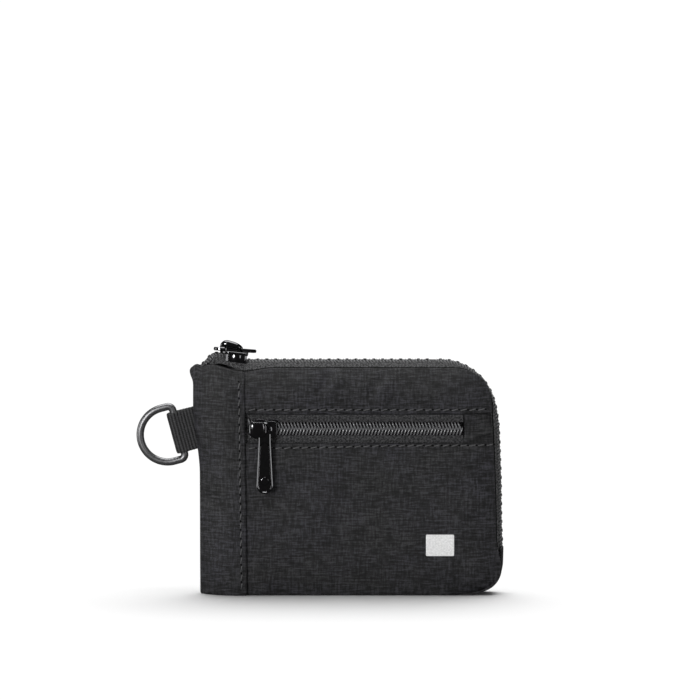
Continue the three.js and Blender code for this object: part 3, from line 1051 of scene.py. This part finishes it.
def add_loop(curve, points):
    """Add a closed polygon, with points in millimetres, to a curve."""
    spline = curve.splines.new("POLY")
    spline.points.add(len(points) - 1)
    for point, (x, y, z) in zip(spline.points, points):
        point.co = (x * MM, y * MM, z * MM, 1)
    spline.use_cyclic_u = True


def flat_plate(name, outlines, depth, bevel, height=0.0, round_steps=3):
    """A plate from closed outlines at a height; the first is the edge and the rest are holes."""
    curve = bpy.data.curves.new(name, "CURVE")
    curve.dimensions = "2D"
    curve.fill_mode = "BOTH"
    curve.extrude = (depth / 2 - bevel) * MM
    curve.bevel_depth = bevel * MM
    curve.bevel_resolution = round_steps
    curve.offset = -bevel * MM
    for outline in outlines:
        add_loop(curve, [(x, y, 0) for x, y in outline])
    return bake_curve(name, curve, ENAMEL, at_mm(0, 0, height))


def at_mm(x, y, z):
    return Matrix.Translation(Vector((x, y, z)) * MM)


PULL_LENGTH = 28.5
PULL_HEAD = 2.9
PULL_TIP = 3.2


def pull_outline(inset=0.0, head=True):
    """Outline of a pull that points along +X from its eye, drawn inset from its edge."""
    tip = PULL_LENGTH - PULL_HEAD - PULL_TIP
    points = arc(tip, 0, PULL_TIP - inset, -88, 88, 20)
    if head:
        points += [(5.2, 2.3 - inset)]
        points += arc(0, 0, PULL_HEAD - inset, 52, 308, 26)
        points += [(5.2, -2.3 + inset)]
    else:
        points += arc(6.0 + inset, 0, 2.32 - inset, 100, 260, 12)
    return points


BOSS_PROFILE = [(1.75, 0.3), (1.7, 0.5), (1.45, 0.62), (1.1, 0.66), (0.8, 0.6), (0.45, 0.64), (0, 0.68)]


def build_pull(name, matrix):
    """A long tab with an eye, a raised rim round a sunk face, and a small domed boss."""
    eye = arc(0, 0, 1.5, 360, 14, 20)
    inner = pull_outline(0.85, head=False)
    web = flat_plate(name + "_web", [pull_outline(0.25), eye], 0.75, 0.1)
    rim = flat_plate(name + "_rim", [pull_outline(), inner[::-1], eye], 1.4, 0.33, round_steps=0)
    pieces = [web, shade(rim, False)]
    boss_at = PULL_LENGTH - PULL_HEAD - 5.0
    sides = 24
    for face in (1, -1):
        points = []
        for radius, height in BOSS_PROFILE:
            points += [Vector((boss_at + radius * c, radius * s, height * face)) for c, s in circle(sides)]
        faces = band_faces(len(BOSS_PROFILE), sides, flip=face < 0)
        pieces.append(make(f"{name}_boss", points, faces, ENAMEL))
    piece = join(name, pieces)
    piece.data.transform(matrix)
    return piece


def plate_outline(half, reach, mouth):
    """A slider's plate seen from above: a rounded wide end at -X and a narrower one at +X."""
    side = arc(half - 1.2, reach * 0.8 - 1.2, 1.2, 0, 90, 6)
    side += arc(-half * 0.35, reach - 1.5, 1.5, 90, 130, 6)
    side += [(-half, mouth)]
    return [(x, -y) for x, y in side] + [(-half + 0.9, 0)] + side[::-1]


def build_crown(name, half, rise, slope, thick, wide):
    """A rounded band that bridges the slider's top; it is highest and thickest at its -X foot."""
    points = []
    steps, sides = 36, 16
    reach = half - thick / 2

    def centre(s):
        turn = math.pi * clamp(s)
        across = -math.cos(turn)
        x = reach * math.copysign(abs(across) ** 0.6, across)
        return Vector((x, 0, rise * math.sin(turn) ** 0.42 * (1 - slope * (x + reach) / (2 * reach))))

    for i in range(steps + 1):
        s = i / steps
        along = (centre(s + 0.02) - centre(s - 0.02)).normalized()
        out = Vector((-along.z, 0, along.x))
        deep = thick * (0.7 + 0.3 * bell(s - 0.38, 0.22)) / 2
        broad = wide / 2 * (0.34 + 0.66 * math.sin(math.pi * clamp(s)) ** 0.55)
        for k in range(sides):
            angle = 2 * math.pi * k / sides
            c, d = math.cos(angle), math.sin(angle)
            side = math.copysign(abs(c) ** 0.85, c) * broad
            high = math.copysign(abs(d) ** 0.8, d) * deep
            points.append(centre(s) + Vector((0, side, 0)) + out * high)
    faces = band_faces(steps + 1, sides, flip=True)
    faces.append(tuple(range(sides)))
    faces.append(tuple(steps * sides + k for k in range(sides))[::-1])
    return make(name + "_crown", points, faces, ENAMEL)


def keyhole_outline(half, head, head_at, neck):
    """A small slider's plate: a round head over the parting rows and a narrower neck."""
    points = arc(half - 1.0, neck - 1.0, 1.0, 0, 90, 6)
    join_at = math.degrees(math.asin(neck / head))
    points += arc(head_at, 0, head, join_at + 6, 360 - join_at - 6, 40)
    points += arc(half - 1.0, -neck + 1.0, 1.0, 270, 360, 6)
    return points[::-1]


def build_slider(name, outline, plate, lift, throat, crown, matrix):
    """Two plates joined by a post, side flanges that hold the rows, and the crown on top."""
    half = SLIDER_LENGTH / 2
    reach = max(y for _, y in outline)
    under = [(x, y * 0.88) for x, y in outline]
    post = arc(-half + 2.2, 0, 0.55, 0, 360, 14)[:-1]
    pieces = [
        flat_plate(f"{name}_top", [outline], plate, 0.4, lift + plate / 2),
        flat_plate(f"{name}_under", [under], 0.8, 0.25, -throat - 0.4),
        flat_plate(f"{name}_post", [post], throat + lift + 0.6, 0.05, (lift - throat) / 2),
    ]
    for side in (1, -1):
        low, high = sorted((side * reach * 0.6, side * reach * 0.86))
        flange = [(-3.0, low), (half - 0.4, low), (half - 0.4, high), (-3.0, high)]
        pieces.append(flat_plate(f"{name}_flange", [flange], lift + 1.3, 0.2, lift / 2 - 0.3))
    crown_at, *crown_sizes = crown
    arch = build_crown(name, *crown_sizes)
    arch.data.transform(at_mm(crown_at, 0, lift + plate - 0.25))
    piece = shade(join(name, pieces + [arch]), True)
    piece.data.transform(matrix)
    return piece


def turned(degrees, axis):
    return Matrix.Rotation(math.radians(degrees), 4, axis)


SLIDER_LENGTH = 11.2
# Each crown: where it stands, half its length, its rise, slope, thickness and width.
MAIN_CROWN = (-1.2, 5.2, 2.9, 0.3, 3.3, 3.6)
POCKET_CROWN = (-1.9, 4.0, 2.5, 0.1, 1.6, 6.2)
main_place = at_mm(-47.0, 0, HEIGHT) @ turned(7, "Y")
main_body = build_slider("main_slider", plate_outline(5.6, 3.9, 2.4), 1.3, 1.9, 4.1, MAIN_CROWN, main_place)
settle(main_body, "black_metal", "main_slider_body", "main_slider_crown", body="main_slider")
main_pull = build_pull("main_pull", at_mm(-51.95, 0, 98.05) @ turned(62, "Z") @ turned(6.5, "Y"))
settle(main_pull, "black_metal", "main_pull_tab", body="main_pull")

pocket_place = at_mm(-35.2, -8.35, SLOT_MIDDLE) @ turned(90, "X")
pocket_plate = keyhole_outline(5.6, 4.2, -1.2, 3.2)
pocket_body = build_slider("pocket_slider", pocket_plate, 1.2, 0.35, 2.3, POCKET_CROWN, pocket_place)
settle(pocket_body, "black_metal", "pocket_slider_body", "pocket_slider_crown", body="pocket_slider")
hang = at_mm(-34.4, -10.85, SLOT_MIDDLE) @ turned(90, "X") @ turned(-90, "Z")
pocket_pull = build_pull("pocket_pull", hang)
settle(pocket_pull, "black_metal", "pocket_pull_tab", body="pocket_pull")

# ---- Webbing loop and D-ring ----
STRAP = at_mm(-63.2, 0, 66.4) @ turned(-15, "Y") @ turned(180, "Z")
REACH = 5.9
BAR_LOOP = 2.45
STRAP_END = 0.62
STRAP_WIDTH = 16.2


def webbing_path():
    """The webbing's middle line: out along the front, round the bar and back."""
    lean = math.asin((BAR_LOOP - STRAP_END) / REACH)
    start = Vector((STRAP_END * math.sin(-lean) - 3.2, -STRAP_END))
    turn = 90 + math.degrees(lean)
    bend = [Vector(point) for point in arc(REACH, 0, BAR_LOOP, -turn, turn, 52)]
    out = [start.lerp(bend[0], i / 26) for i in range(26)]
    return out + bend + [Vector((point.x, -point.y)) for point in reversed(out)]


def webbing():
    path = webbing_path()
    total = len(path) - 1
    lengths = running_lengths(path)

    def surface(u, v):
        i = round(u * total)
        along = (path[min(i + 1, total)] - path[max(i - 1, 0)]).normalized()
        out = Vector((along.y, -along.x))
        rib = 0.26 * abs(math.sin(math.pi * lengths[i] / WEBBING_RIB)) ** 0.7
        edge = 1 - abs(v * 2 - 1) ** 14
        at = path[i] + out * (0.3 + rib * edge + 0.1 * (v * 2 - 1) ** 8)
        width = STRAP_WIDTH + 0.12 * math.sin(lengths[i] * 5)
        point = Vector((at.x, at.y, (v - 0.5) * width))
        return point, Vector((-out.x, -out.y, 0)), (lengths[i], v * STRAP_WIDTH)

    piece = slab("webbing_fabric", total, 30, surface, WEBBING, 0.75, edge=0.4)
    piece.data.transform(STRAP)
    return piece


strap = webbing()
seam_point = (-62.2 * MM, 0, 66.0 * MM)
free_point = (-66.5 * MM, 0, 65.5 * MM)
settle(strap, "webbing", "webbing_loop", towards="strap", ends=(seam_point, free_point))


def d_ring():
    wire = 1.5
    half = 12.4 - wire
    bend = 2.0
    points = [(0, -half + bend), (0, half - bend)]
    points += arc(bend, half - bend, bend, 180, 90, 8)[1:]
    points += arc(4.6, 0, half, 90, -90, 48)
    points += arc(bend, -half + bend, bend, 270, 180, 8)[:-1]
    curve = bpy.data.curves.new("d_ring_wire", "CURVE")
    curve.dimensions = "3D"
    curve.bevel_depth = wire * MM
    curve.bevel_resolution = 6
    add_loop(curve, [(x, 0, z) for x, z in points])
    return shade(bake_curve("d_ring_wire", curve, RING, STRAP @ at_mm(REACH, 0, 0)), True)


settle(d_ring(), "ring_metal", "d_ring", body="ring")

# ---- Blank label ----
label_low, label_high = node_box("blank_label")


def build_label():
    def surface(u, v):
        x = lerp(label_low.x, label_high.x, u)
        z = lerp(label_low.z, label_high.z, v)
        return Vector((x, face_y(x, z, -1) - 0.32, z)), Vector((0, 1, 0)), (x, z)

    return slab("blank_label_cloth", 22, 17, surface, LABEL, 0.34)


settle(build_label(), "label", "blank_label")

# ---- Inside ----


def inside_sheet(node):
    """A flat lining or card slot with a stitched hem along its top."""
    low, high = node_box(node)

    def surface(u, v):
        x, z = lerp(low.x, high.x, u), lerp(low.z, high.z, v)
        wave = 0.1 * noise.noise(Vector((x / 13, z / 12, low.y)))
        return Vector((x, low.y + wave, z)), Vector((0, 1, 0)), (x + low.y * 40, z)

    def hem(s):
        return Vector((low.x + s, low.y - 0.02, high.z - 1.6)), Vector((0, -1, 0)), Vector((0, 0, 1))

    cloth = slab(node + "_cloth", 46, 34, surface, LINING, 0.28)
    settle(cloth, "lining", node)
    for piece in stitch_row(node + "_hem", (high.x - low.x, hem), radius=0.09, lift=0.05):
        settle(piece, "lining")


CARD_SLOTS = [f"card_slot_{place}" for place in ("front", "middle", "back")]
for node in ("pocket_bag", "front_lining", *CARD_SLOTS, "back_lining"):
    inside_sheet(node)


def seam_cord():
    """The bound edges of the left side seam, between the two spine strips."""

    def surface(u, v):
        z = lerp(1.5, 89, v)
        angle = math.pi * u
        point = Vector((left_edge(z) + 2.2 - 1.6 * math.sin(angle), -1.1 * math.cos(angle), z))
        return point, Vector((math.sin(angle), math.cos(angle), 0)), (u * 5, z)

    return slab("side_seam_binding", 8, 60, surface, NYLON, 0.4)


settle(seam_cord(), "nylon", "side_seam_tape")

# ---- Riding ----
settle(lower, "nylon", "front_lower_panel")
settle(base, "nylon", "bottom_gusset")
settle(tab, "nylon", "pocket_zip_end_tab")

# Ends of the line between where each cloth would stay on the pouch and where it would follow its row;
# settle does not use them.
panel_closed = (34 * MM, 0, 90.6 * MM)
slope = Vector((-14.6, 0, 76.0)).normalized()
reach = (Vector((-42, 0, 90.6)) - Vector((34, 0, 90.6))).dot(slope) * MM
panel_ends = (panel_closed, tuple(Vector(panel_closed) + slope * reach))
strip_slope = Vector((14.6, 0, 18.0)).normalized()
strip_reach = 18 * strip_slope.x * MM
strip_closed = (-60 * MM, 0, 90.6 * MM)
strip_ends = (strip_closed, tuple(Vector(strip_closed) + strip_slope * strip_reach))
for half, cloth, cloth_node, strip, seam in (
    ("front", upper, "front_upper_panel", front_spine, spine_seam),
    ("back", back, "back_panel", back_spine, back_seam),
):
    row = f"main_row_{half}"
    settle(cloth, "nylon", cloth_node, towards=row, ends=panel_ends)
    settle(strip, "nylon", f"{half}_spine_strip", towards=row, ends=strip_ends)
    for piece in seam:
        settle(piece, "nylon", towards=row, ends=strip_ends)
settle(top_shade_line, "nylon", towards="main_row_front", ends=panel_ends)
settle(spine_shade_line, "nylon", towards="main_row_front", ends=strip_ends)
for piece in (upper_slot_shade, lower_slot_shade, tab_edge_shade, *upper_seam, *lower_seam):
    settle(piece, "nylon")


stop = frame["nodes"]["main_zip_stop"]
stop.data.materials.clear()
stop.data.materials.append(ENAMEL)

# ---- Floor, light and camera ----
FLOOR_HALF = 9000
floor_look = Look("floor")
floor_look.shine({"Base Color": (0.94, 0.94, 0.94, 1), "Roughness": 0.9, "Specular IOR Level": 0.0})
corners = [(x * FLOOR_HALF, y * FLOOR_HALF, 0) for x, y in ((-1, -1), (1, -1), (1, 1), (-1, 1))]
floor = make("floor", corners, [(0, 1, 2, 3)], floor_look.material)
floor.visible_glossy = False

world = bpy.data.worlds.new("studio")
bpy.context.scene.world = world
studio = Nodes(world)


def sky(strength):
    return studio.add("ShaderNodeBackground", "Background", {"Color": (1, 1, 1, 1), "Strength": strength})


def choose(switch, first, second):
    """The first sky, or the second for rays of the kind that the switch names."""
    kind = studio.add("ShaderNodeLightPath", switch, {})
    return studio.add("ShaderNodeMixShader", "Shader", {0: kind, 1: first, 2: second})


room = choose("Is Glossy Ray", sky(0.12), sky(0.05))
studio.fill(studio.tree.nodes["World Output"], {"Surface": choose("Is Camera Ray", room, sky(1.05))})


object_only = bpy.data.collections.new("lit_object")
for piece in bpy.context.scene.objects:
    if piece.type == "MESH" and piece is not floor:
        object_only.objects.link(piece)


def softbox(name, place, aim, size, power, shine_only=False):
    """A studio light on the object alone; the sun and the sky light the floor."""
    light = bpy.data.lights.new(name, "AREA")
    light.shape = "RECTANGLE"
    light.size, light.size_y = size
    light.energy = power
    lamp = add_object(name, light)
    lamp.location = place
    lamp.rotation_euler = (Vector(aim) - Vector(place)).to_track_quat("-Z", "Y").to_euler()
    lamp.light_linking.receiver_collection = object_only
    lamp.visible_diffuse = not shine_only


softbox("key_softbox", (-0.62, -1.05, 0.32), (0, 0, 0.04), (0.3, 0.3), 9.6)
softbox("fill_softbox", (0.8, -1.0, 0.25), (0, 0, 0.05), (0.14, 0.5), 1.1)
for name, x in (("left_strip", -0.8), ("right_strip", 0.8)):
    softbox(name, (x, 0.0, 0.1), (0, 0, 0.07), (0.3, 0.5), 1.3, shine_only=True)
sun = bpy.data.lights.new("back_light", "SUN")
sun.energy = 3.2
sun.angle = math.radians(56)
back_light = add_object("back_light", sun)
back_light.rotation_euler = Vector((0.03, 0.25, 0.968)).to_track_quat("Z", "Y").to_euler()

scene = bpy.context.scene
scene.view_settings.view_transform = "Standard"
scene.view_settings.look = "None"
VIEW_WIDTH = 277.2 * MM
DISTANCE = 1.6
ELEVATION = math.radians(5)
camera = bpy.data.cameras.new("camera")
camera.sensor_width = 36
camera.lens = camera.sensor_width * DISTANCE / VIEW_WIDTH
camera.clip_end = 20
view = add_object("camera", camera)
target = Vector((-0.6, -8.0, 98.3)) * MM
back_off = Vector((0, -math.cos(ELEVATION), math.sin(ELEVATION)))
view.location = target + back_off * DISTANCE
view.rotation_euler = (-back_off).to_track_quat("-Z", "Y").to_euler()
scene.camera = view
